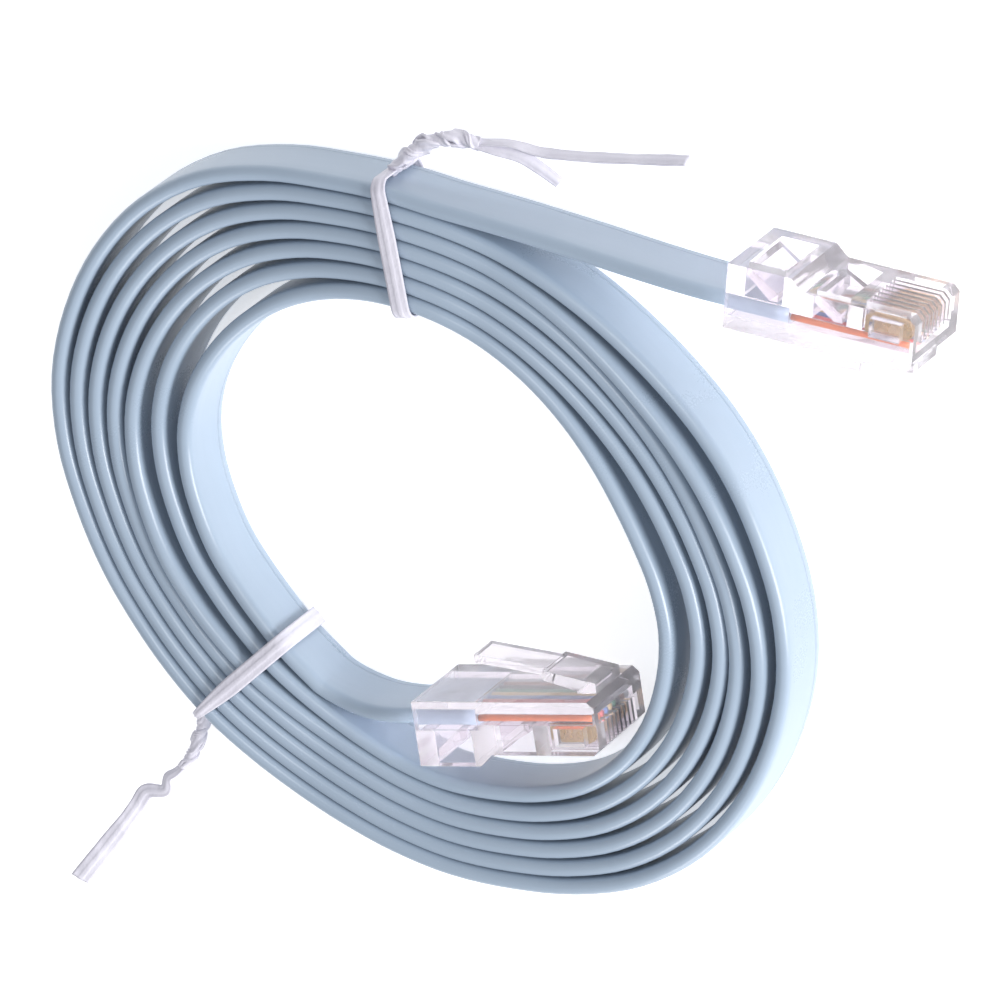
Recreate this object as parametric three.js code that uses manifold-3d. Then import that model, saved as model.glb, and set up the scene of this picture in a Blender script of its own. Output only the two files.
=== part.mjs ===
import * as THREE from 'three';
import { mergeVertices } from 'three/addons/utils/BufferGeometryUtils.js';
import Module from 'manifold-3d';

// A flat eight-core console cable, wound flat face to face into an oval coil that lies on
// its edge, with a clear modular plug on each end and two wire ties round the turns.
// Millimetres, +Z up. Angles are in degrees, counter-clockwise from +X.

const wasm = await Module();
wasm.setup();

// The cable
const cableWidth = 8.4;
const cableThick = 1.75;
const cableCorner = 0.5;
const clearance = 0.3;

// The coil: every 30 degrees from +X, how far from the centre the winding starts, and how
// much nearer each turn brings it. The last turns are slack, and sit a little nearer still.
const coilRadii = [44.1, 43.5, 38.2, 34.8, 35.3, 39.6, 45.2, 44.5, 39.4, 35.1, 34.7, 37.7];
const coilPitch = [2.5, 2.25, 1.88, 1.84, 1.84, 1.94, 2.3, 2.4, 2.4, 2.05, 1.93, 1.93];
const wholeTurns = 6;
const coilStart = 326;
const lastTurnSweep = 142;
const stepAngle = 8;
const stepBack = 3;
const lastTurnBack = 2.7;
const grooveDepth = 1.1;
const slackFrom = 4.5;
const slackDepth = 1.5;
const slackAngle = 130;

// The wire ties: the band round the turns, and the routes of the twists and the tails
const tieWidth = 2;
const tieThick = 0.4;
const tieCorner = 1.4;
const tieRoom = 0.5;
const tieGap = 0.2;
const tieRiseAngle = 22;
const knotThick = 1.3;
const knotHeight = 5.2;
const knotTurns = 1.25;
const upperKnot = [[30.5, -27.3, 5], [29.6, -29.6, 4.8], [28.3, -31.6, 4.6], [26.9, -33.1, 4.4]];
const upperShortTail = [[27.2, -32.8, 4.5], [25.6, -35, 4.2], [22.7, -35.9, 3.8], [18.9, -36.1, 3]];
const upperLongTail = [
  [27.3, -32.6, 4.4], [25.2, -35.2, 4], [22.3, -37.5, 3.6], [18, -42.6, 3.2], [12.6, -49.9, 3],
];
const lowerKnot = [[-2.6, 37.9, 4.6], [-3.8, 41, 4.2], [-4.1, 43.2, 3.8]];
const lowerTail = [
  [-4.1, 42.9, 3.8], [-4.1, 47.1, 3.4], [-4.8, 50.9, 3], [-6, 57.6, 2.4], [-6.9, 64.8, 1.8],
];

// Where each band meets the outer and the inner wall of the coil, and the turn of each tail
// from standing on edge
const upperTie = {
  outerAngle: 323.3,
  innerAngle: 320,
  knot: upperKnot,
  tails: [{ turn: 0, route: upperShortTail }, { turn: 0, route: upperLongTail }],
};
const lowerTie = {
  outerAngle: 451.5,
  innerAngle: 451.5,
  knot: lowerKnot,
  tails: [{ turn: 0.25, route: lowerTail }],
};

// The modular plug: x runs from the cable to the nose, y to the contact side, z across.
// What a Setback names is measured back from the nose.
const plugLength = 20.9;
const plugWidth = 11.68;
const contactSide = 3.55;
const latchSide = -2.3;
const noseChamfer = 0.7;
const humpHeight = 1.25;
const humpLength = 7;
const humpSlope = 1.4;
const jacketDepth = 6.5;
const coreCount = 8;
const contactPitch = 1.02;
const contactThick = 0.36;
const contactSetback = 6;
const contactLength = 5.2;
const contactHeight = 2.1;
const contactCorners = { toe: 0.3, instep: 0.4, crown: 0.9, top: 1, heel: 0.5 };
const contactGap = 0.1;
const wireDiameter = 0.86;
const wireSetback = 1.1;
const wireGap = 0.2;
const clampWindow = { start: 1.6, length: 4.2, width: 8.2 };
const wireWindow = { setback: 11.7, length: 3.8, width: 8.2 };
const sideWindow = { setback: 5, length: 3.4, base: 0.6, height: 2, depth: 1.5 };
const clampThick = 0.9;
const latchWidth = 6;
const latchThick = 1.1;
const latchNeck = 2.2;
const latchInset = 0.8;
const shoulderSetback = 6.7;
const shoulderDrop = 2.5;
const leverWidth = 4.4;
const leverThick = 0.9;
const leverLength = 8;
const leverDrop = 3.95;

// Where each plug lies: the middle of the cable at the back of the plug, the way the nose
// points, and whether its contacts face right of that way instead of left
const outerPlug = { x: -1.4, y: -47.8, heading: 222.2, turned: false };
const innerPlug = { x: -15.5, y: 12.7, heading: 236.4, turned: true };

// The loose ends of the cable, from the plug to the coil
const outerLeadRoute = [
  [2.3, -44.5, 5.8], [7, -40.6, 5.65], [11.6, -36.9, 5.45], [16.1, -33.2, 5.25],
  [20.4, -29.6, 5.1], [24.6, -26, 5],
];
const innerLeadRoute = [[-13.6, 15.6, 5.7], [-11.6, 18.2, 5], [-9.3, 20.2, 4.4]];

const colours = {
  jacket: 0x9ab3ca,
  clear: 0xe9eef2,
  gold: 0xd9a441,
  tie: 0xe6e6ea,
  wires: [0xd9662c, 0xc23a3a, 0x2f5fae, 0xd8c23f, 0x3b8a55, 0x2b2c30, 0x7a4a2e, 0xd9dadc],
};

const rad = THREE.MathUtils.degToRad;
const fullCircle = 360;
const halfThick = cableThick / 2;
const halfWidth = cableWidth / 2;
const tieLift = tieThick + tieGap;
const contactBack = plugLength - contactSetback;
const wireEnd = plugLength - wireSetback;
const latchShoulder = plugLength - shoulderSetback;
const overlap = 0.2;
const beyond = 1;

// The value, at an angle, of a list that goes round the coil in equal steps
function aroundCoil(list, angle) {
  const place = THREE.MathUtils.euclideanModulo(angle, fullCircle) * list.length / fullCircle;
  const i = Math.floor(place);
  const [a, b, c, d] = [-1, 0, 1, 2].map((k) => list[(i + k + list.length) % list.length]);
  const f = place - i;
  return b + 0.5 * f * (c - a + f * (2 * a - 5 * b + 4 * c - d + f * (3 * (b - c) + d - a)));
}

// Distance from the centre to the middle of the cable, at an angle of winding that counts on
// through the turns
function turnRadius(angle) {
  const turns = (angle - coilStart) / fullCircle;
  const loose = Math.max(0, turns - slackFrom) * Math.sin(rad(angle - slackAngle)) ** 2;
  return aroundCoil(coilRadii, angle) - aroundCoil(coilPitch, angle) * turns - slackDepth * loose;
}

// How far the coil is held up where it passes over a tie
function coilLift(angle) {
  const rises = [upperTie, lowerTie].map((tie) => {
    const tieAngle = (tie.outerAngle + tie.innerAngle) / 2;
    const apart = THREE.MathUtils.euclideanModulo(angle - tieAngle + 180, fullCircle) - 180;
    return Math.abs(apart) < tieRiseAngle
      ? 0.5 + 0.5 * Math.cos(Math.PI * apart / tieRiseAngle) : 0;
  });
  return tieLift * Math.max(...rises);
}

// A point at a distance from the coil's centre, an angle and a height
function polar(radius, angle, z) {
  return new THREE.Vector3(radius * Math.cos(rad(angle)), radius * Math.sin(rad(angle)), z);
}

// A closed body through a row of like outlines. With a flat outline it gets flat ends,
// and without one its last outline joins its first.
function loft(rings, flat) {
  const sides = rings[0].length;
  const index = [];
  const spans = flat ? rings.length - 1 : rings.length;
  for (let i = 0; i < spans; i += 1) {
    const here = i * sides;
    const next = ((i + 1) % rings.length) * sides;
    for (let j = 0; j < sides; j += 1) {
      const k = (j + 1) % sides;
      index.push(here + j, here + k, next + k, here + j, next + k, next + j);
    }
  }
  if (flat) {
    const last = spans * sides;
    THREE.ShapeUtils.triangulateShape(flat, []).forEach(([a, b, c]) => {
      index.push(c, b, a, last + a, last + b, last + c);
    });
  }
  const geometry = new THREE.BufferGeometry();
  const places = rings.flat().flatMap((p) => [p.x, p.y, p.z]);
  geometry.setAttribute('position', new THREE.Float32BufferAttribute(places, 3));
  geometry.setIndex(index);
  return geometry;
}

function toSolid(geometry) {
  const bare = geometry.clone();
  bare.deleteAttribute('normal');
  bare.deleteAttribute('uv');
  const merged = mergeVertices(bare);
  return new wasm.Manifold(new wasm.Mesh({
    numProp: 3,
    vertProperties: merged.getAttribute('position').array,
    triVerts: new Uint32Array(merged.getIndex().array),
  }));
}

function toGeometry(solid) {
  const mesh = solid.getMesh();
  const geometry = new THREE.BufferGeometry();
  geometry.setAttribute('position', new THREE.BufferAttribute(mesh.vertProperties, 3));
  geometry.setIndex(new THREE.BufferAttribute(mesh.triVerts, 1));
  return geometry;
}

function joined(geometries) {
  return geometries.map(toSolid).reduce((all, piece) => all.add(piece));
}

function box(x0, x1, y0, y1, z0, z1) {
  const geometry = new THREE.BoxGeometry(x1 - x0, y1 - y0, z1 - z0);
  return geometry.translate((x0 + x1) / 2, (y0 + y1) / 2, (z0 + z1) / 2);
}

// An outline in x and y, pulled out to a width across z
function slab(points, width) {
  const shape = new THREE.Shape(points.map(([x, y]) => new THREE.Vector2(x, y)));
  const geometry = new THREE.ExtrudeGeometry(shape, { depth: width, bevelEnabled: false });
  return geometry.translate(0, 0, -width / 2);
}

// The cable's section, with its corners taken off
function cableSection() {
  const flat = halfWidth - cableCorner;
  const side = halfThick - cableCorner;
  return new THREE.Shape([
    [halfWidth, -side], [halfWidth, side], [flat, halfThick], [-flat, halfThick],
    [-halfWidth, side], [-halfWidth, -side], [-flat, -halfThick], [flat, -halfThick],
  ].map(([x, y]) => new THREE.Vector2(x, y)));
}

function curve(points) {
  return new THREE.CatmullRomCurve3(points.map((p) => new THREE.Vector3(...p)));
}

// The coil's section at an angle: a wall on each side, and on each face the edges of the
// turns with a groove between every two
function coilOutline(radii, outerWall) {
  const last = radii.length - 1;
  const edges = [[radii[0] - halfThick, cableCorner]];
  radii.forEach((r, i) => {
    edges.push([r - halfThick + cableCorner, 0], [r + halfThick - cableCorner, 0]);
    if (i < last) edges.push([(r + radii[i + 1]) / 2, grooveDepth]);
  });
  if (outerWall) edges.push([(radii[last] + halfThick + outerWall) / 2, grooveDepth]);
  edges.push(outerWall ? [outerWall + overlap, grooveDepth] : [radii[last] + halfThick, cableCorner]);
  const top = edges.map(([r, depth]) => [r, cableWidth - depth]);
  return [...top, ...edges.reverse()];
}

function coilRing(outline, angle) {
  return outline.map(([r, z]) => polar(r, angle, z + coilLift(angle)));
}

// Six whole turns joined into one ring, which steps out by one turn where the cable joins it
function wholeRing() {
  const sweep = fullCircle - stepBack;
  const steps = Math.round(sweep / stepAngle);
  const rings = [];
  for (let i = 0; i <= steps; i += 1) {
    const angle = coilStart + sweep * i / steps;
    const radii = [];
    for (let turn = wholeTurns - 1; turn >= 0; turn -= 1) {
      radii.push(turnRadius(angle + turn * fullCircle));
    }
    rings.push(coilRing(coilOutline(radii), angle));
  }
  return loft(rings);
}

// The last turn, which goes only part of the way round inside the others
function lastTurn() {
  const start = coilStart + wholeTurns * fullCircle - lastTurnBack;
  const end = coilStart + wholeTurns * fullCircle + lastTurnSweep;
  const steps = Math.round((end - start) / stepAngle);
  const rings = [];
  let outline;
  for (let i = 0; i <= steps; i += 1) {
    const angle = start + (end - start) * i / steps;
    const wall = turnRadius(angle - fullCircle) - halfThick;
    outline = coilOutline([turnRadius(angle)], wall);
    rings.push(coilRing(outline, angle));
  }
  return loft(rings, outline.map(([r, z]) => new THREE.Vector2(z, r)));
}

// A flat strip along a route, that turns about its own length from one part turn to another.
// It stands on edge at no turn and lies flat at a quarter.
function strip(route, width, thick, turns, steps) {
  const path = curve(route);
  const up = new THREE.Vector3(0, 0, 1);
  const flat = [[1, -1], [1, 1], [-1, 1], [-1, -1]].map(([x, y]) => (
    new THREE.Vector2(x * width / 2, y * thick / 2)));
  const rings = [];
  for (let i = 0; i <= steps; i += 1) {
    const turn = 2 * Math.PI * THREE.MathUtils.lerp(turns[0], turns[1], i / steps);
    const ahead = path.getTangentAt(i / steps);
    const side = new THREE.Vector3().crossVectors(ahead, up).normalize();
    const rise = new THREE.Vector3().crossVectors(side, ahead);
    const middle = path.getPointAt(i / steps);
    rings.push(flat.map((corner) => {
      const p = corner.clone().rotateAround(new THREE.Vector2(), turn);
      return middle.clone().addScaledVector(rise, p.x).addScaledVector(side, p.y);
    }));
  }
  return loft(rings, flat);
}

function roundedOutline(Kind, left, right, low, high, corner) {
  const shape = new Kind();
  shape.moveTo(left + corner, low);
  shape.lineTo(right - corner, low);
  shape.absarc(right - corner, low + corner, corner, -Math.PI / 2, 0);
  shape.absarc(right - corner, high - corner, corner, 0, Math.PI / 2);
  shape.absarc(left + corner, high - corner, corner, Math.PI / 2, Math.PI);
  shape.absarc(left + corner, low + corner, corner, Math.PI, 3 * Math.PI / 2);
  return shape;
}

// A tie: a band round the turns, from the floor to over the coil, then the twist and tails
function wireTie(tie) {
  const outerWall = turnRadius(tie.outerAngle) + halfThick + tieRoom;
  const innerWall = turnRadius(tie.innerAngle + wholeTurns * fullCircle) - halfThick - tieRoom;
  const outer = polar(outerWall, tie.outerAngle, 0);
  const inner = polar(innerWall, tie.innerAngle, 0);
  const across = outer.clone().sub(inner);
  const length = across.length();
  const roof = tieLift + cableWidth + tieGap;
  const shape = roundedOutline(THREE.Shape, -tieThick, length + tieThick, 0, roof + tieThick,
    tieCorner);
  shape.holes.push(roundedOutline(THREE.Path, 0, length, tieThick, roof, tieCorner - tieThick));
  const options = { depth: tieWidth, bevelEnabled: false, curveSegments: 3 };
  const band = new THREE.ExtrudeGeometry(shape, options).translate(0, 0, -tieWidth / 2);
  band.rotateX(Math.PI / 2).rotateZ(Math.atan2(across.y, across.x)).translate(inner.x, inner.y, 0);
  const start = outer.addScaledVector(across, tieThick / 2 / length).setZ(knotHeight).toArray();
  const pieces = [band, strip([start, ...tie.knot], tieWidth, knotThick, [0, knotTurns], 12)];
  tie.tails.forEach((tail) => {
    pieces.push(strip(tail.route, tieWidth, tieThick, [tail.turn, tail.turn], 10));
  });
  return toGeometry(joined(pieces));
}

// The latch: a neck at the nose, a wide shoulder and the narrower lever behind it
function plugLatch() {
  const neck = plugLength - latchInset;
  const neckDrop = latchSide - latchThick;
  const tip = latchShoulder - leverLength;
  const shoulder = slab([
    [neck, latchSide + overlap], [neck - latchNeck, latchSide + overlap],
    [neck - latchNeck, latchSide - overlap],
    [latchShoulder, latchSide - shoulderDrop + latchThick],
    [latchShoulder, latchSide - shoulderDrop], [neck, neckDrop],
  ], latchWidth);
  const lever = slab([
    [latchShoulder + overlap, latchSide - shoulderDrop + leverThick],
    [tip, latchSide - leverDrop + leverThick], [tip, latchSide - leverDrop],
    [latchShoulder + overlap, latchSide - shoulderDrop],
  ], leverWidth);
  return [shoulder, lever];
}

// A clamp bar pressed down from the back edge of a window towards the cable
function clampFlap(window, start, top, bottom) {
  const end = start + window.length - 2 * clearance;
  return slab([
    [start - overlap, top - clampThick], [end - clampThick, bottom], [end, bottom],
    [end, bottom + clampThick], [start - overlap, top],
  ], window.width - 2 * clearance);
}

function cutWindow(window, start, floor) {
  const half = window.width / 2;
  const roof = contactSide + humpHeight + beyond;
  return box(start, start + window.length, floor, roof, -half, half);
}

function corePlace(i, pitch) {
  return (i - (coreCount - 1) / 2) * pitch;
}

// The clear moulded housing with its latch
function plugHousing() {
  const humpTop = contactSide + humpHeight;
  const block = slab([
    [0, latchSide], [plugLength - noseChamfer, latchSide], [plugLength, latchSide + noseChamfer],
    [plugLength, contactSide - noseChamfer], [plugLength - noseChamfer, contactSide],
    [humpLength + humpSlope, contactSide], [humpLength, humpTop], [0, humpTop],
  ], plugWidth);
  const jacketHalf = halfThick + clearance;
  const wireHalf = wireDiameter / 2 + wireGap;
  const wiresWide = (coreCount - 1) * contactPitch / 2 + wireDiameter / 2 + clearance;
  const jacketWide = halfWidth + clearance;
  const wireWindowStart = plugLength - wireWindow.setback;
  const sideStart = plugLength - sideWindow.setback;
  const cuts = [
    box(-beyond, jacketDepth + clearance, -jacketHalf, jacketHalf, -jacketWide, jacketWide),
    box(jacketDepth, wireEnd + clearance, -wireHalf, wireHalf, -wiresWide, wiresWide),
    cutWindow(clampWindow, clampWindow.start, jacketHalf - overlap),
    cutWindow(wireWindow, wireWindowStart, wireHalf - overlap),
  ];
  const slotHalf = contactThick / 2 + contactGap;
  for (let i = 0; i < coreCount; i += 1) {
    const z = corePlace(i, contactPitch);
    cuts.push(box(contactBack - clearance, plugLength + beyond, wireHalf - overlap,
      contactSide + beyond, z - slotHalf, z + slotHalf));
  }
  [-1, 1].forEach((side) => {
    const near = side * (plugWidth / 2 - sideWindow.depth);
    const far = side * (plugWidth / 2 + beyond);
    cuts.push(box(sideStart, sideStart + sideWindow.length, sideWindow.base,
      sideWindow.base + sideWindow.height, Math.min(near, far), Math.max(near, far)));
  });
  const body = cuts.map(toSolid).reduce((all, cut) => all.subtract(cut), toSolid(block));
  const flaps = [
    clampFlap(clampWindow, clampWindow.start, humpTop - clearance, jacketHalf),
    clampFlap(wireWindow, wireWindowStart, contactSide - clearance, wireHalf),
  ];
  return toGeometry([...plugLatch(), ...flaps].map(toSolid).reduce((all, p) => all.add(p), body));
}

// A gold contact blade, standing on its wire with its crown rounded towards the nose
function contactBlade() {
  const foot = wireDiameter / 2 + wireGap;
  const crown = foot + contactHeight;
  const front = contactBack + contactLength;
  const c = contactCorners;
  return slab([
    [contactBack, foot], [front - c.toe, foot], [front, foot + c.instep],
    [front, crown - c.crown], [front - c.toe, crown - c.toe], [front - c.top, crown],
    [contactBack + c.crown, crown], [contactBack, crown - c.heel],
  ], contactThick);
}

// An insulated core, from the end of the jacket to the end of its contact
function plugWire(i) {
  const circle = new THREE.Shape().absarc(0, 0, wireDiameter / 2, 0, 2 * Math.PI);
  const from = corePlace(i, cableWidth / coreCount);
  const to = corePlace(i, contactPitch);
  const start = jacketDepth + clearance;
  const path = curve([[start, 0, from], [(start + contactBack) / 2, 0, (from + to) / 2],
    [contactBack, 0, to], [wireEnd, 0, to]]);
  return new THREE.ExtrudeGeometry(circle, { steps: 4, curveSegments: 8, extrudePath: path });
}

function material(colour, roughness, metalness = 0) {
  return new THREE.MeshStandardMaterial({ color: colour, roughness, metalness });
}

const jacketMaterial = material(colours.jacket, 0.38);
const tieMaterial = material(colours.tie, 0.5);
const goldMaterial = material(colours.gold, 0.25, 1);
const clearMaterial = material(colours.clear, 0.08);
clearMaterial.transparent = true;
clearMaterial.opacity = 0.35;

function piece(name, geometry, look) {
  const mesh = new THREE.Mesh(geometry, look);
  mesh.name = name;
  return mesh;
}

function plug(name, pose) {
  const group = new THREE.Group();
  group.add(piece(`${name}_housing`, plugHousing(), clearMaterial));
  for (let i = 0; i < coreCount; i += 1) {
    const contact = piece(`${name}_contact_${i + 1}`, contactBlade(), goldMaterial);
    contact.position.z = corePlace(i, contactPitch);
    group.add(contact);
    const colour = colours.wires[pose.turned ? i : coreCount - 1 - i];
    group.add(piece(`${name}_wire_${i + 1}`, plugWire(i), material(colour, 0.4)));
  }
  group.position.set(pose.x, pose.y, plugWidth / 2);
  group.rotation.set(pose.turned ? Math.PI : 0, 0, rad(pose.heading), 'ZYX');
  return group;
}

// The middle of the cable at a distance past the back of a plug
function insidePlug(pose, x) {
  const heading = rad(pose.heading);
  return [pose.x + x * Math.cos(heading), pose.y + x * Math.sin(heading), plugWidth / 2];
}

function lead(route, steps) {
  return new THREE.ExtrudeGeometry(cableSection(), { steps, extrudePath: curve(route) });
}

function coilEnd(angle, back) {
  const radius = turnRadius(angle);
  const shift = back / radius * 180 / Math.PI;
  return polar(radius, angle + shift, halfWidth + coilLift(angle)).toArray();
}

const outerRoute = [
  insidePlug(outerPlug, jacketDepth), insidePlug(outerPlug, 0), ...outerLeadRoute,
  coilEnd(coilStart - stepBack, -clearance),
];
const innerRoute = [
  insidePlug(innerPlug, jacketDepth), insidePlug(innerPlug, 0), ...innerLeadRoute,
  coilEnd(coilStart + wholeTurns * fullCircle + lastTurnSweep, clearance),
];

const cable = new THREE.Group();
cable.add(
  piece('cable_coil', toGeometry(joined([wholeRing(), lastTurn()])), jacketMaterial),
  piece('cable_outer_lead', lead(outerRoute, 24), jacketMaterial),
  piece('cable_inner_lead', lead(innerRoute, 14), jacketMaterial),
  plug('outer_plug', outerPlug),
  plug('inner_plug', innerPlug),
  piece('upper_tie', wireTie(upperTie), tieMaterial),
  piece('lower_tie', wireTie(lowerTie), tieMaterial),
);

// The origin is the middle of the whole part, on the floor
const bounds = new THREE.Box3().setFromObject(cable, true);
const middle = bounds.getCenter(new THREE.Vector3());
cable.position.set(-middle.x, -middle.y, -bounds.min.z);

const assembly = new THREE.Group();
assembly.add(cable);

export default assembly;
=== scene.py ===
import bmesh
import bpy
import numpy as np
from mathutils import Matrix, Vector


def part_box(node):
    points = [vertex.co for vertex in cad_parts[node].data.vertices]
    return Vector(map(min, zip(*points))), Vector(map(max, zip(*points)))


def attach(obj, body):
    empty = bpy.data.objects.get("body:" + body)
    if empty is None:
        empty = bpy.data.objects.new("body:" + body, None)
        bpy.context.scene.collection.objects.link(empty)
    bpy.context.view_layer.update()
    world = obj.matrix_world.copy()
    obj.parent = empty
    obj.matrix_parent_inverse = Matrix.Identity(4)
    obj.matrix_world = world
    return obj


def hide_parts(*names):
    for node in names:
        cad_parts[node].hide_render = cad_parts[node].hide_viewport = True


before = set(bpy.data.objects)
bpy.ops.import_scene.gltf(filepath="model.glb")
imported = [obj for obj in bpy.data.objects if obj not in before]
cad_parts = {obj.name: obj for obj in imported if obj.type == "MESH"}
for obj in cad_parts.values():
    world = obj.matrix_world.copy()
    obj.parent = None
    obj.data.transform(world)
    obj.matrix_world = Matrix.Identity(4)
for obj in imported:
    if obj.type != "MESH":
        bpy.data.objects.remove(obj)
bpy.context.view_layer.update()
mm = 0.001
mapUnit = 10  # millimetres for each step of the surface maps

# ---- what a user would change, in millimetres and degrees, one dictionary a piece

cable = {
    "width": 8.4, "thick": 1.75, "corner": 0.84,
    "radii": [44.1, 43.5, 38.2, 34.8, 35.3, 39.6, 45.2, 44.5, 39.4, 35.1, 34.7, 37.7],
    "pitch": [2.5, 2.25, 1.88, 1.84, 1.84, 1.94, 2.3, 2.4, 2.4, 2.05, 1.93, 1.93],
    "turns": 6, "start": 326, "lastSweep": 142, "stepBack": 3,
    "slackFrom": 4.5, "slackDepth": 1.5, "slackAngle": 130,
    "pointEvery": 10, "ringsPerPoint": 4, "perCorner": 6, "perFlat": 6,
    # where a turn lies off the even winding: which turn, angle, half reach, inward, upward
    "strays": [
        [1, 250, 62, 0.95, 0.7], [2, 240, 60, 1.0, 0], [3, 255, 60, 0.55, 0],
        [4, 265, 50, 0.25, 0], [1, 2, 22, 0.15, 0], [2, 2, 22, 0.15, 0],
        [4, 70, 50, -0.12, 0.5], [5, 10, 40, -0.5, 0], [6, 30, 70, -0.8, 0],
        [5, 185, 40, -0.7, 0],
    ],
}
outerPlug = {"name": "outer_plug", "x": -1.4, "y": -47.8, "heading": 222.2, "turned": False}
innerPlug = {"name": "inner_plug", "x": -15.5, "y": 12.7, "heading": 236.4, "turned": True}
plugSize = {"width": 11.68, "jacketDepth": 6.5, "cores": 8, "pitch": 1.02, "wire": 0.72,
            "contactBack": 14.9, "wireEnd": 19.8, "gap": 0.3, "edge": 0.16, "edgeFrom": 25,
            "sameWithin": 0.002}
outerLeadRoute = [
    [2.3, -44.5, 5.8], [7, -40.6, 5.65], [11.6, -36.9, 5.45], [16.1, -33.2, 5.25],
    [20.4, -29.6, 5.1], [24.6, -26, 5],
]
innerLeadRoute = [[-13.6, 15.6, 5.7], [-11.6, 18.2, 5], [-9.3, 20.2, 4.4]]
tieSize = {"width": 2.0, "thick": 0.4, "corner": 1.4, "room": 0.5, "gap": 0.2, "rise": 22,
           "knotHeight": 5.2, "twistThick": 0.75, "twistPitch": 4.6, "rings": 90}
upperTie = {
    "name": "upper_tie", "outerAngle": 323.3, "innerAngle": 320, "ripple": 0.008,
    "gathered": 0.25, "twistWidth": 1.9, "twistSpread": 0.42,
    "knot": [[30.8, -27.1, 5.2], [30.1, -29.4, 5], [28.9, -31.2, 4.8], [27.2, -32.6, 4.6]],
    # each tail: turns at its start and end, widths along it, and its route
    "tails": [
        [[0.1, 0.2], [1.3, 1.5, 1.4, 1.2],
         [[27.6, -32.3, 4.7], [25.9, -33.6, 4.5], [23.7, -35.2, 4.1], [21.4, -35.9, 3.6],
          [19, -36.3, 3]]],
        [[0.02, 0.06], [1.4, 1.5, 1.5, 1.6],
         [[27.3, -32.6, 4.4], [25.2, -35.2, 4], [22.3, -37.5, 3.6], [18, -42.6, 3.2],
          [12.6, -49.9, 3]]],
    ],
}
lowerTie = {
    "name": "lower_tie", "outerAngle": 451.5, "innerAngle": 451.5, "ripple": 0.012,
    "gathered": 0.62, "twistWidth": 1.5, "twistSpread": 0.24,
    "knot": [[-3.1, 39.9, 4.6], [-3.9, 41.8, 4.3], [-4.3, 43.7, 4.2]],
    "tails": [
        [[0.34, 0.2], [0.8, 1.1, 1.7, 1.6, 1.9, 2, 2],
         [[-4.2, 43.2, 4.2], [-4.3, 44.9, 4.1], [-4.2, 46.2, 4], [-5.1, 47.6, 3.8],
          [-4, 49.6, 3.6], [-4.5, 51.8, 3.4], [-5.3, 55.5, 3], [-6.1, 59.9, 2.4],
          [-6.9, 64.4, 1.8]]],
    ],
}
view = {"elevation": 58, "roll": -128.1, "target": [-2.82, -10.35, 8.4], "across": 103.1,
        "distance": 1500, "sensor": 36}
floorSize = {"half": 3, "drop": 0.0002}  # in metres
wireColours = {  # linear red, green, blue of each core's insulation
    "orange": (0.60, 0.16, 0.055), "red": (0.55, 0.09, 0.09), "blue": (0.11, 0.19, 0.42),
    "yellow": (0.70, 0.53, 0.26), "green": (0.10, 0.30, 0.19), "black": (0.05, 0.05, 0.06),
    "brown": (0.36, 0.19, 0.15), "white": (0.68, 0.7, 0.72),
}

# ---- curves


def aroundCoil(values, angles):
    # Catmull-Rom through values that stand in equal steps round a full circle
    values = np.array(values)
    count = len(values)
    place = np.mod(angles, 360) * count / 360
    i = np.floor(place).astype(int)
    f = place - i
    a, b, c, d = (values[(i + k) % count] for k in (-1, 0, 1, 2))
    return b + 0.5 * f * (c - a + f * (2 * a - 5 * b + 4 * c - d + f * (3 * (b - c) + d - a)))


def stray(angles, column):
    # the sum of the raised cosines that belong to the turn that an angle of winding lies in
    total = np.zeros_like(angles, dtype=float)
    for row in cable["strays"]:
        turn, middle, reach = row[:3]
        centre = middle + 360 * turn + (360 if middle < cable["start"] else 0)
        apart = np.minimum(np.abs(angles - centre) / reach, 1)
        total += row[column] * (0.5 + 0.5 * np.cos(np.pi * apart))
    return total


def evenRadius(angles):
    # first radius less one pitch for each turn, and a little less still where the last are slack
    turns = (angles - cable["start"]) / 360
    loose = np.maximum(0, turns - cable["slackFrom"])
    loose = loose * np.sin(np.radians(angles - cable["slackAngle"])) ** 2
    return (aroundCoil(cable["radii"], angles) - aroundCoil(cable["pitch"], angles) * turns
            - cable["slackDepth"] * loose)


def coilLift(angles):
    # a raised cosine over each tie that passes underneath
    lift = np.zeros_like(angles, dtype=float)
    for tie in (upperTie, lowerTie):
        apart = np.mod(angles - (tie["outerAngle"] + tie["innerAngle"]) / 2 + 180, 360) - 180
        bump = 0.5 + 0.5 * np.cos(np.pi * apart / tieSize["rise"])
        lift = np.maximum(lift, np.where(np.abs(apart) < tieSize["rise"], bump, 0))
    return lift * (tieSize["thick"] + tieSize["gap"])


def polar(radius, angles, z):
    # distance from the centre, angle and height to x, y, z
    turn = np.radians(angles)
    return np.stack(np.broadcast_arrays(radius * np.cos(turn), radius * np.sin(turn), z), -1)


def smoothLine(points, perSpan):
    # Catmull-Rom through the points, with end points mirrored past both ends
    p = np.asarray(points, dtype=float)
    p = np.vstack([2 * p[0] - p[1], p, 2 * p[-1] - p[-2]])
    f = (np.arange(perSpan) / perSpan)[None, :, None]
    a, b, c, d = (p[k:len(p) - 3 + k, None, :] for k in range(4))
    line = b + 0.5 * f * (c - a + f * (2 * a - 5 * b + 4 * c - d + f * (3 * (b - c) + d - a)))
    return np.vstack([line.reshape(-1, 3), p[-2]])


def lengthAlong(line):
    # the distance from the first point to each point, as the running sum of the steps
    return np.concatenate([[0], np.cumsum(np.linalg.norm(np.diff(line, axis=0), axis=1))])


def evenly(line, count):
    # the same line with its points at equal distances
    along = lengthAlong(line)
    return np.stack([np.interp(np.linspace(0, along[-1], count), along, line[:, k])
                     for k in range(3)], -1)


def unit(vectors):
    # each vector over its own length
    return vectors / np.linalg.norm(vectors, axis=-1)[..., None]


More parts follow.
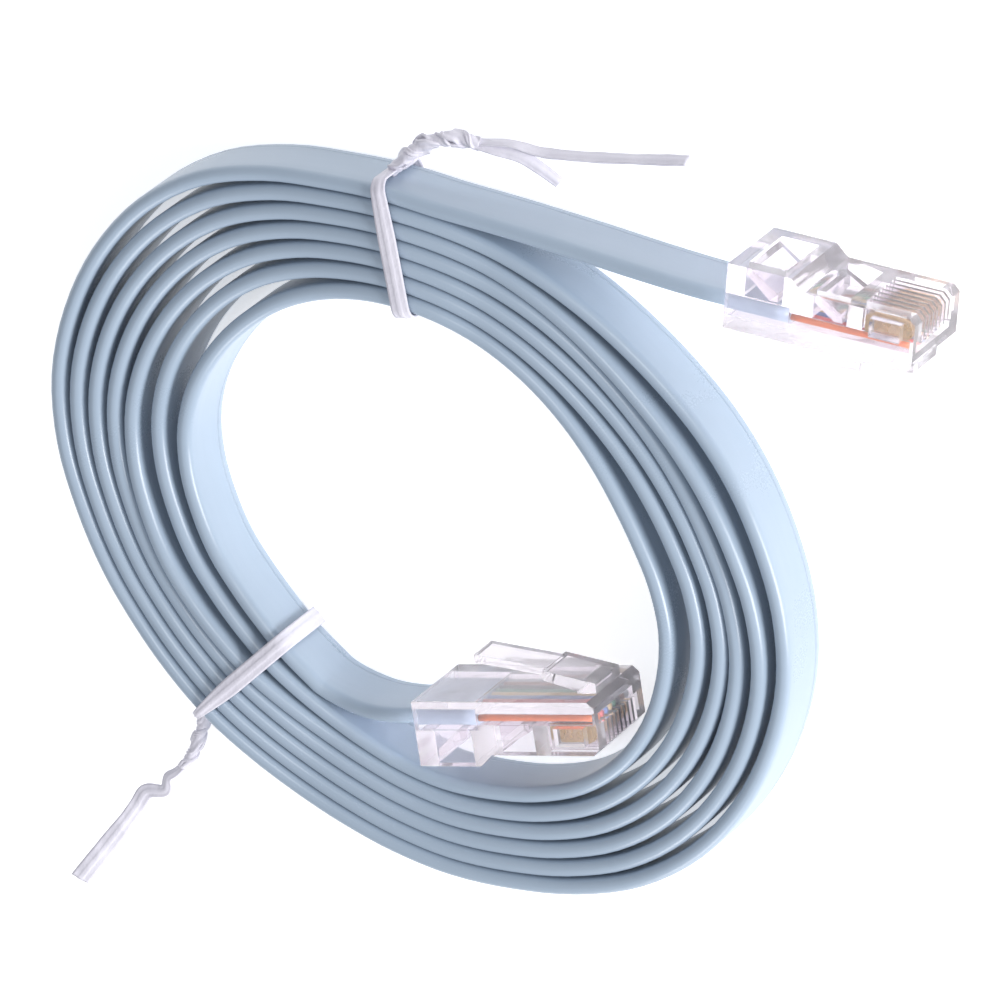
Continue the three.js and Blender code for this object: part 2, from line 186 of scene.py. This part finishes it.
def uprightFrames(line):
    # at each point: sideways, level and square to the line, and upright, square to both
    ahead = unit(np.gradient(line, axis=0))
    side = unit(np.cross(ahead, [0, 0, 1]))
    return side, np.cross(side, ahead)


# ---- meshes


def shift():
    # the CAD centres the whole part on its box, so the coil's own outline gives the offset
    sweep = 360 - cable["stepBack"]
    angles = cable["start"] + sweep * np.linspace(0, 1, round(sweep / 8) + 1)
    outline = polar(evenRadius(angles) + cable["thick"] / 2, angles, 0)
    low, high = (np.array(corner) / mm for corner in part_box("cable_coil"))
    middle = (outline.min(0) + outline.max(0)) / 2
    return ((low + high) / 2 - middle) * [1, 1, 0]


def carried(line, profile, side, rise, closed=False):
    # a profile (rings, points, 2) set across a line: first number along rise, second along side
    profile = np.broadcast_to(profile, (len(line),) + np.shape(profile)[-2:])
    at = (line[:, None, :] + rise[:, None, :] * profile[..., :1]
          + side[:, None, :] * profile[..., 1:])
    rings, sides = at.shape[:2]
    i = np.arange(rings if closed else rings - 1)[:, None]
    j = np.arange(sides)[None, :]
    i2, j2 = (i + 1) % rings, (j + 1) % sides
    faces = np.stack([i * sides + j, i2 * sides + j, i2 * sides + j2, i * sides + j2], -1)
    faces = faces.reshape(-1, 4).tolist()
    if not closed:
        faces += [list(range(sides)), list(range((rings - 1) * sides, rings * sides))[::-1]]
    return at.reshape(-1, 3), faces


def mapOf(line, across):
    # for each point of each ring: distance along the line, and across, both in map steps
    across = np.broadcast_to(across, (len(line), np.shape(across)[-1]))
    along = np.broadcast_to(lengthAlong(line)[:, None], across.shape)
    return np.stack([along.ravel(), across.ravel()], -1) / mapUnit


def placed(name, data):
    # a new object for the data, in the scene
    thing = bpy.data.objects.new(name, data)
    bpy.context.scene.collection.objects.link(thing)
    return thing


def makePiece(name, vertices, faces, material, across=None):
    # a smooth closed mesh from vertices in the coil's own millimetres, with its map if it has one
    mesh = bpy.data.meshes.new(name)
    mesh.from_pydata(((vertices + offset) * mm).tolist(), [], faces)
    if across is not None:
        index = np.empty(len(mesh.loops), dtype=np.int32)
        mesh.loops.foreach_get("vertex_index", index)
        mesh.uv_layers.new(name="alongAcross").data.foreach_set("uv", across[index].ravel())
    shell = bmesh.new()
    shell.from_mesh(mesh)
    bmesh.ops.recalc_face_normals(shell, faces=shell.faces)
    shell.to_mesh(mesh)
    shell.free()
    mesh.polygons.foreach_set("use_smooth", [True] * len(mesh.polygons))
    mesh.materials.append(material)
    piece = placed(name, mesh)
    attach(piece, "root")
    return piece


def roundedBar(halfRise, halfSide, corner, perCorner, perFlat):
    # a rectangle with rounded corners, as points once round, with more along its long sides
    corners = []
    for k, (u, v) in enumerate([(1, 1), (-1, 1), (-1, -1), (1, -1)]):
        turn = np.radians(90 * k + np.linspace(0, 90, perCorner))
        corners.append(np.stack([u * (halfRise - corner) + corner * np.cos(turn),
                                 v * (halfSide - corner) + corner * np.sin(turn)], -1))
    part = np.linspace(0, 1, perFlat + 1)[1:-1, None]
    points = []
    for k, arc in enumerate(corners):
        points.append(arc)
        if k % 2 == 0:
            points.append(arc[-1] + (corners[k + 1][0] - arc[-1]) * part)
    return np.vstack(points)


# ---- shader maths


class Value:  # a node's output that can be added, multiplied and so on
    def __init__(self, shader, socket):
        self.shader, self.socket = shader, socket

    def maths(self, operation, *others):
        return self.shader.node("ShaderNodeMath", {"operation": operation}, {
            k: value for k, value in enumerate((self,) + others)})

    def __add__(self, other):
        return self.maths("ADD", other)

    def __sub__(self, other):
        return self.maths("SUBTRACT", other)

    def __rsub__(self, other):
        return (self * -1) + other

    def __mul__(self, other):
        return self.maths("MULTIPLY", other)

    def __abs__(self):
        return self.maths("ABSOLUTE")

    __radd__, __rmul__ = __add__, __mul__

    def between(self, low, high):
        # 0 at low, 1 at high, smooth between
        return self.shader.node("ShaderNodeMapRange", {"interpolation_type": "SMOOTHSTEP"},
                                {"Value": self, "From Min": low, "From Max": high})


class Shader:  # a material that is built from expressions
    def __init__(self, name):
        self.material = bpy.data.materials.new(name)
        self.material.use_nodes = True
        self.tree = self.material.node_tree
        self.main = self.tree.nodes["Principled BSDF"]

    def node(self, kind, settings=None, sockets=None, output=0):
        # a new node with its settings first, then the values or links of its sockets
        made = self.tree.nodes.new(kind)
        for key, value in (settings or {}).items():
            setattr(made, key, value)
        for key, value in (sockets or {}).items():
            self.join(made.inputs[key], value)
        return Value(self, made.outputs[output])

    def join(self, socket, value):
        # a link from another node, a colour, or a plain value
        if isinstance(value, Value):
            self.tree.links.new(value.socket, socket)
        elif isinstance(value, tuple) and len(value) == 3 and socket.type == "RGBA":
            socket.default_value = (*value, 1)
        else:
            socket.default_value = value

    def set(self, **sockets):
        # on the material's main shader, a name's underline standing for a space
        for key, value in sockets.items():
            self.join(self.main.inputs[key.replace("_", " ")], value)
        return self.material

    def here(self):
        # the object's own metres
        return self.node("ShaderNodeTexCoord", output="Object")

    def acrossStrip(self):
        # how far a point lies from the middle of a strip, in map steps
        drawn = self.node("ShaderNodeUVMap", {"uv_map": "alongAcross"})
        return self.node("ShaderNodeSeparateXYZ", {}, {0: drawn}, "Y")

    def noise(self, place, scale, detail=3, roughness=0.5):
        # smooth noise from 0 to 1, scale waves a metre
        return self.node("ShaderNodeTexNoise", {"noise_dimensions": "3D"}, {
            "Vector": place, "Scale": scale, "Detail": detail, "Roughness": roughness})

    def upright(self, place, squeeze):
        # the place with its height squeezed, for marks that run level
        return self.node("ShaderNodeMapping", {}, {"Vector": place, "Scale": (1, 1, squeeze)})

    def mixed(self, amount, first, second):
        # the first colour at 0, the second at 1
        sockets = {0: amount, 6: first, 7: second}  # factor, colour A and colour B
        return self.node("ShaderNodeMix", {"data_type": "RGBA"}, sockets, 2)

    def bump(self, height, distance):
        # a tilt of the surface as if it rose by height times distance in metres
        return self.node("ShaderNodeBump", {}, {
            "Height": height, "Distance": distance, "Strength": 1.0})


# ---- materials


def jacketMaterial():
    # pale blue vinyl, cloudy and streaked along, with a mould line near its lower edge: a shallow
    # groove with painted shade along it
    s = Shader("jacket")
    s.set(Specular_IOR_Level=0.55)
    place = s.here()
    # a narrow band along the mould line, sunk as a groove by the bump and painted darker as its
    # shade
    line = 1 - abs(s.acrossStrip() + 0.27).between(0.004, 0.016)
    cloud = s.noise(place, 55, 3).between(0.3, 0.7)
    streak = s.noise(s.upright(place, 9), 160, 2).between(0.35, 0.65)
    grain = s.noise(place, 5200, 2, 0.6)
    base = s.mixed(cloud * 0.35, (0.350, 0.430, 0.530), (0.380, 0.460, 0.560))
    base = s.mixed(streak * 0.12, base, (0.310, 0.390, 0.490))
    # painted shade: the band along the groove darkened
    base = s.mixed(line * 0.35, base, (0.250, 0.330, 0.430))
    height = grain * 0.12 + cloud * 0.5 - line * 1.6
    return s.set(Base_Color=base, Roughness=0.24 + cloud * 0.07 + grain * 0.04,
                 Normal=s.bump(height, 0.00004))


def clearMaterial():
    # clear, slightly milky plastic that lets the lamps through, so that its shadow stays pale
    s = Shader("clear_plastic")
    s.set(Transmission_Weight=0.915, IOR=1.36)
    place = s.here()
    haze = s.noise(place, 420, 3).between(0.35, 0.75)
    waves = s.noise(place, 240, 2)
    base = s.mixed(haze * 0.5, (0.94, 0.905, 0.94), (0.88, 0.84, 0.89))
    s.set(Base_Color=base, Roughness=0.06 + haze * 0.07, Normal=s.bump(waves, 0.00006))
    lamp = s.node("ShaderNodeLightPath", output="Is Shadow Ray")
    letThrough = s.node("ShaderNodeBsdfTransparent", {}, {"Color": (0.96, 0.955, 0.97)}, "BSDF")
    plastic = Value(s, s.main.outputs[0])
    both = s.node("ShaderNodeMixShader", {}, {0: lamp, 1: plastic, 2: letThrough}, "Shader")
    s.tree.links.new(both.socket, s.tree.nodes["Material Output"].inputs["Surface"])
    return s.material


def goldMaterial():
    # worn plating with fine level brush marks
    s = Shader("gold")
    place = s.here()
    wear = s.noise(place, 900, 3).between(0.4, 0.75)
    brushed = s.noise(s.upright(place, 6), 2600, 2)
    base = s.mixed(wear * 0.5, (0.84, 0.63, 0.32), (0.72, 0.50, 0.22))
    return s.set(Base_Color=base, Metallic=1.0, Roughness=0.2 + wear * 0.14,
                 Normal=s.bump(brushed, 0.00001))


def coreMaterial(name):
    # insulation in the core's colour, a fifth darker in patches
    s = Shader("wire_" + name)
    place = s.here()
    tone = s.noise(place, 700, 3).between(0.3, 0.7)
    colour = wireColours[name]
    darker = tuple(0.8 * part for part in colour)
    return s.set(Base_Color=s.mixed(tone * 0.5, colour, darker), Roughness=0.32 + tone * 0.1,
                 Normal=s.bump(s.noise(place, 5000, 2), 0.00001))


def tieMaterial():
    # creased white paper, with a painted highlight over the ridge of the wire in its middle
    s = Shader("tie_paper")
    place = s.here()
    # the middle band over the wire's ridge, raised by the bump and lightened as a painted
    # highlight
    core = 1 - abs(s.acrossStrip()).between(0.015, 0.04)
    crease = s.noise(place, 900, 4, 0.6)
    fibre = s.noise(place, 4200, 3)
    stain = s.noise(place, 260, 3).between(0.45, 0.75)
    base = s.mixed(stain * 0.4, (0.70, 0.68, 0.76), (0.58, 0.56, 0.65))
    # painted highlight: the middle band over the wire lightened
    base = s.mixed(core * 0.2, base, (0.76, 0.74, 0.82))
    return s.set(Base_Color=base, Roughness=0.42 + fibre * 0.12,
                 Normal=s.bump(crease * 1.2 + fibre * 0.2 + core * 0.3, 0.0001))


def floorMaterial():
    # a pale floor that glows a little, for the photograph's white ground
    s = Shader("floor")
    tone = s.noise(s.here(), 3, 2)
    base = s.mixed(tone * 0.1, (0.90, 0.90, 0.91), (0.87, 0.87, 0.885))
    return s.set(Base_Color=base, Roughness=0.6, Emission_Color=(1.0, 1.0, 1.0),
                 Emission_Strength=0.5)


offset = shift()
jacket, clear, gold = jacketMaterial(), clearMaterial(), goldMaterial()
tiePaper = tieMaterial()
cores = {name: coreMaterial(name) for name in wireColours}
print("materials made; offset", offset.round(3))

# ---- camera, at the photograph's angle


def makeCamera():
    # back along the elevation from the target, then rolled about its own line of sight
    up, roll = np.radians([view["elevation"], view["roll"]])
    back = np.array([0, -np.cos(up), np.sin(up)])
    right0, up0 = np.array([1, 0, 0]), np.array([0, np.sin(up), np.cos(up)])
    right = np.cos(roll) * right0 + np.sin(roll) * up0
    above = -np.sin(roll) * right0 + np.cos(roll) * up0
    target = np.array(view["target"]) + offset
    data = bpy.data.cameras.new("camera")
    data.sensor_width = view["sensor"]
    data.lens = view["sensor"] * view["distance"] / view["across"]
    data.clip_start, data.clip_end = 0.05, 20
    camera = placed("camera", data)
    turn = Matrix(np.stack([right, above, back], -1).tolist()).to_4x4()
    place = Vector(((target + back * view["distance"]) * mm).tolist())
    camera.matrix_world = Matrix.Translation(place) @ turn
    bpy.context.scene.camera = camera


makeCamera()

# ---- the cable, one line from plug to plug


def insidePlug(pose, x):
    # the point on a plug's own axis at x from its back
    turn = np.radians(pose["heading"])
    return [pose["x"] + x * np.cos(turn), pose["y"] + x * np.sin(turn), plugSize["width"] / 2]


def cableLine():
    # from inside the outer plug, along its lead, inwards round the coil and into the inner plug
    end = cable["start"] + 360 * cable["turns"] + cable["lastSweep"]
    angles = np.arange(cable["start"] - cable["stepBack"], end, cable["pointEvery"])
    angles = np.append(angles, end)
    height = cable["width"] / 2 + coilLift(angles) + stray(angles, 4)
    coil = polar(evenRadius(angles) - stray(angles, 3), angles, height)
    ends = plugSize["jacketDepth"]
    route = ([insidePlug(outerPlug, ends), insidePlug(outerPlug, 0)] + outerLeadRoute
             + coil.tolist() + innerLeadRoute[::-1]
             + [insidePlug(innerPlug, 0), insidePlug(innerPlug, ends)])
    return smoothLine(route, cable["ringsPerPoint"])


def makeCable():
    # the rounded profile, standing on its edge, carried along the line
    line = cableLine()
    profile = roundedBar(cable["width"] / 2, cable["thick"] / 2, cable["corner"],
                         cable["perCorner"], cable["perFlat"])
    vertices, faces = carried(line, profile, *uprightFrames(line))
    piece = makePiece("cable", vertices, faces, jacket, mapOf(line, profile[:, 0]))
    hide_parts("cable_coil", "cable_outer_lead", "cable_inner_lead")
    return piece, line


cablePiece, line = makeCable()
print("cable made;", len(line), "rings,", round(lengthAlong(line)[-1]), "mm")

# ---- plugs


def inPlug(pose, points):
    # a plug's own x back to nose, y to the contacts, z across, to the coil's millimetres
    turn = np.radians(pose["heading"])
    flip = -1 if pose["turned"] else 1
    x, y, z = points[..., 0], points[..., 1] * flip, points[..., 2] * flip
    return np.stack([pose["x"] + x * np.cos(turn) - y * np.sin(turn),
                     pose["y"] + x * np.sin(turn) + y * np.cos(turn),
                     plugSize["width"] / 2 + z], -1)


def makeHousing(pose):
    # the CAD housing's own shape, merged and with its edges broken
    node = pose["name"] + "_housing"
    shell = bmesh.new()
    shell.from_mesh(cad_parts[node].data)
    bmesh.ops.remove_doubles(shell, verts=shell.verts, dist=plugSize["sameWithin"] * mm)
    bmesh.ops.dissolve_limit(shell, angle_limit=0.01, verts=shell.verts, edges=shell.edges)
    mesh = bpy.data.meshes.new(pose["name"] + "_shell")
    shell.to_mesh(mesh)
    shell.free()
    mesh.materials.append(clear)
    piece = placed(pose["name"] + "_shell", mesh)
    bevel = piece.modifiers.new("edges", "BEVEL")
    bevel.width, bevel.segments, bevel.limit_method = plugSize["edge"] * mm, 2, "ANGLE"
    bevel.angle_limit = np.radians(plugSize["edgeFrom"])
    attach(piece, "root")
    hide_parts(node)
    return piece


def makeWires(pose):
    # round tubes that close up from the cable's own spacing to the contacts'
    order = list(wireColours)
    if not pose["turned"]:
        order.reverse()
    made = []
    circle = np.radians(np.arange(0, 360, 22.5))
    profile = plugSize["wire"] / 2 * np.stack([np.cos(circle), np.sin(circle)], -1)
    start = plugSize["jacketDepth"] + plugSize["gap"]
    for k, name in enumerate(order):
        step = k - (plugSize["cores"] - 1) / 2
        fromZ, toZ = step * cable["width"] / plugSize["cores"], step * plugSize["pitch"]
        middle = [(start + plugSize["contactBack"]) / 2, 0, (fromZ + toZ) / 2]
        core = smoothLine([[start, 0, fromZ], middle, [plugSize["contactBack"], 0, toZ],
                           [plugSize["wireEnd"], 0, toZ]], 4)
        core = inPlug(pose, core)
        vertices, faces = carried(core, profile, *uprightFrames(core))
        node = f"{pose['name']}_wire_{k + 1}"
        piece = makePiece(node + "_core", vertices, faces, cores[name])
        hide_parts(node)
        made.append(piece)
    return made


def finishContacts(pose):
    # the CAD's own blades, in gold
    made = []
    for k in range(plugSize["cores"]):
        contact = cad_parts[f"{pose['name']}_contact_{k + 1}"]
        contact.data.materials.clear()
        contact.data.materials.append(gold)
        made.append(contact)
    return made


for pose in (outerPlug, innerPlug):
    [makeHousing(pose)] + makeWires(pose) + finishContacts(pose)
print("plugs made")

exitPoint = (np.array(insidePlug(outerPlug, 0)) + offset) * mm
((line + offset) * mm).tolist()

# ---- wire ties


def stripProfile(width, thick):
    # a flat strip with a low ridge over its wire: for each width, points once round
    u = np.linspace(-1, 1, 9)
    lens = thick * (0.5 + 0.5 * np.exp(-(u / 0.35) ** 2)) / 2
    wide = np.concatenate([u, u[::-1]]) * np.reshape(width, (-1, 1)) / 2
    return np.stack([wide, np.broadcast_to(np.append(lens, -lens[::-1]), wide.shape)], -1)


def ribbon(line, width, thick, turn):
    # a strip that turns about its own line by part turns
    flat = stripProfile(width, thick)
    angle = 2 * np.pi * turn[:, None]
    profile = np.stack([flat[..., 0] * np.cos(angle) - flat[..., 1] * np.sin(angle),
                        flat[..., 0] * np.sin(angle) + flat[..., 1] * np.cos(angle)], -1)
    vertices, faces = carried(line, profile, *uprightFrames(line))
    return vertices, faces, mapOf(line, flat[..., 0])


def makeBand(tie):
    # once round the turns: a rounded rectangle, upright in the plane through both its walls
    room, half = tieSize["room"] + cable["thick"] / 2, tieSize["thick"] / 2
    innerAngle = tie["innerAngle"] + 360 * cable["turns"]
    outer = polar(evenRadius(tie["outerAngle"]) + room, tie["outerAngle"], 0)
    inner = polar(evenRadius(innerAngle) - room, innerAngle, 0)
    across = unit(outer - inner)
    halfLong = np.linalg.norm(outer - inner) / 2 + half
    halfTall = (cable["width"] + 2 * tieSize["gap"] + tieSize["thick"]) / 2
    loop = roundedBar(halfLong, halfTall, tieSize["corner"], 7, 14)
    middle = (outer + inner) / 2 + np.array([0, 0, halfTall + half])
    line = middle + loop[:, :1] * across + loop[:, 1:] * np.array([0, 0, 1])
    wide = np.broadcast_to(np.cross(across, [0, 0, 1]), line.shape)
    ahead = unit(np.roll(line, -1, 0) - np.roll(line, 1, 0))
    # narrower towards the outer wall, where the twist gathers it
    nearTwist = np.clip((loop[:, 0] / halfLong - 0.1) / 0.9, 0, 1) ** 1.5
    width = tieSize["width"] * (1 - tie["gathered"] * nearTwist)
    flat = stripProfile(width, tieSize["thick"])
    vertices, faces = carried(line, flat[..., ::-1], wide, np.cross(ahead, wide), True)
    piece = makePiece(tie["name"] + "_band", vertices, faces, tiePaper,
                      mapOf(line, flat[..., 0]))
    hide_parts(tie["name"])
    return outer + half * across


def makeTwist(tie, start):
    # two strips wound unevenly round each other along the knot's line
    start = start + np.array([0, 0, tieSize["knotHeight"]])
    route = evenly(smoothLine([start.tolist()] + tie["knot"], 12), tieSize["rings"])
    side, rise = uprightFrames(route)
    along = lengthAlong(route)
    swell = np.sin(np.pi * along / along[-1]) ** 0.5
    for k in range(2):
        turns = along / tieSize["twistPitch"] + 0.1 * np.sin(along * 1.9) + k / 2
        wind = 2 * np.pi * turns
        out = tie["twistSpread"] * (0.5 + 0.5 * swell) * (1 + 0.2 * np.sin(along * 2.6 + k))
        centre = route + out[:, None] * (rise * np.cos(wind)[:, None]
                                         + side * np.sin(wind)[:, None])
        width = tie["twistWidth"] * (0.7 + 0.3 * swell)
        vertices, faces, across = ribbon(centre, width, tieSize["twistThick"], turns + 0.25)
        makePiece(f"{tie['name']}_twist_{k + 1}", vertices, faces, tiePaper, across)


def makeTails(tie):
    # a ribbon along each route that turns in its first part and ripples all along
    for k, (turns, widths, route) in enumerate(tie["tails"]):
        line = evenly(smoothLine(route, 12), tieSize["rings"])
        part = np.linspace(0, 1, len(line))
        ripple = tie["ripple"] * (np.sin(part * 22 + k) + 0.5 * np.sin(part * 55 + 2 * k))
        turn = turns[0] + (turns[1] - turns[0]) * np.clip(part * 2.2, 0, 1) + ripple
        width = np.interp(part, np.linspace(0, 1, len(widths)), widths)
        vertices, faces, across = ribbon(line, width, tieSize["thick"], turn)
        makePiece(f"{tie['name']}_tail_{k + 1}", vertices, faces, tiePaper, across)


for tie in (upperTie, lowerTie):
    makeTwist(tie, makeBand(tie))
    makeTails(tie)
print("ties made")

# ---- floor and light


def makeFloor():
    # a level square just under the part
    mesh = bpy.data.meshes.new("floor")
    half = floorSize["half"]
    mesh.from_pydata([(-half, -half, 0), (half, -half, 0), (half, half, 0), (-half, half, 0)],
                     [], [(0, 1, 2, 3)])
    mesh.materials.append(floorMaterial())
    floor = placed("floor", mesh)
    floor.location.z = -floorSize["drop"]


def makeLight(name, place, size, power):
    # a round soft lamp that faces the part
    data = bpy.data.lights.new(name, "AREA")
    data.shape, data.size, data.energy = "DISK", size, power
    lamp = placed(name, data)
    lamp.location = place
    lamp.rotation_euler = (-Vector(place)).to_track_quat("-Z", "Y").to_euler()


def makeWorld():
    # an even, faintly blue glow from all round
    world = bpy.data.worlds.new("studio")
    world.use_nodes = True
    glow = world.node_tree.nodes["Background"].inputs
    glow["Color"].default_value, glow["Strength"].default_value = (0.94, 0.96, 1.0, 1), 0.47
    bpy.context.scene.world = world


makeFloor()
makeLight("key", (-0.82, -0.88, 0.42), 0.6, 14.5)
makeLight("low", (-0.95, 0.62, 0.42), 0.5, 4.5)
makeLight("top", (0.15, -0.45, 1.1), 0.25, 2.5)
makeWorld()
bpy.context.scene.view_settings.view_transform = "Standard"
print("stage made")
